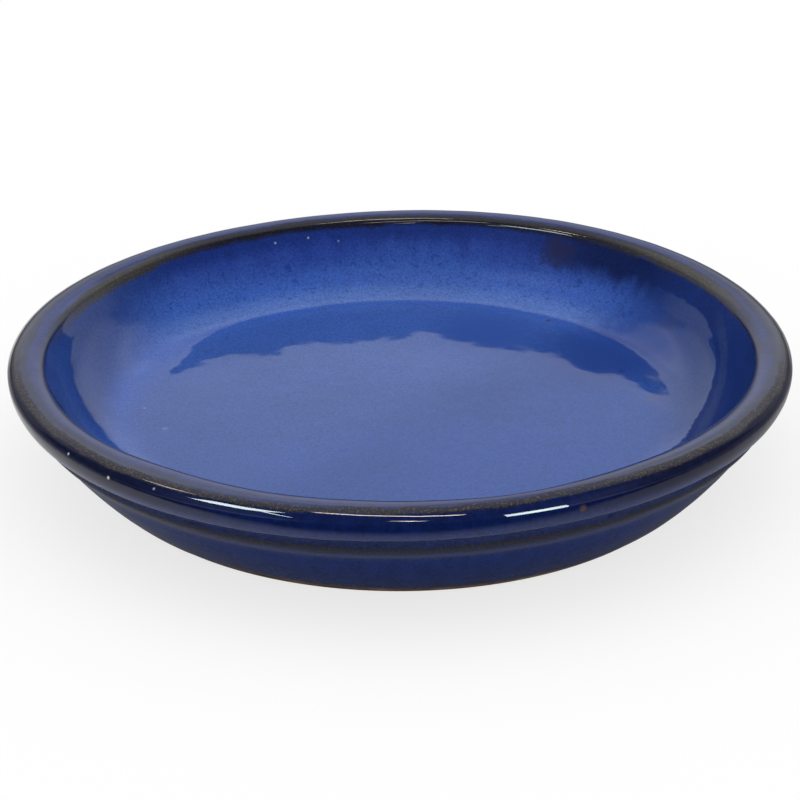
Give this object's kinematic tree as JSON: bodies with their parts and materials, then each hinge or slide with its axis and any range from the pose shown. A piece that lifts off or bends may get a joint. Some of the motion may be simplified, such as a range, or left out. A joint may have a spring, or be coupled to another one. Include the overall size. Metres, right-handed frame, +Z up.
{
  "type": "plant saucer",
  "caption": "Round glazed stoneware plant saucer: a shallow dish with a thick rolled rim, a soft bead below it and a foot ring, for standing a flower pot in.",
  "frame": {"origin": "middle of the foot ring, in the plane that it rests on", "axes": "+Z up along the axis that the saucer was turned on; it is round, so X and Y are free, and the picture looks along +Y"},
  "size_m": [0.3048, 0.3048, 0.0491],
  "materials": {
    "stoneware": "bare fired clay, matt and slightly gritty",
    "inside_glaze": "glossy cobalt glaze with fine mottling",
    "rim_glaze": "glossy dark cobalt glaze that breaks olive brown over the edges",
    "outside_glaze": "glossy dark cobalt glaze, thinner and browner on the bead"
  },
  "bodies": {
    "root": {"stoneware_body": "stoneware", "inside_glaze": "inside_glaze", "rim_glaze": "rim_glaze", "outside_glaze": "outside_glaze"}
  },
  "joints": []
}
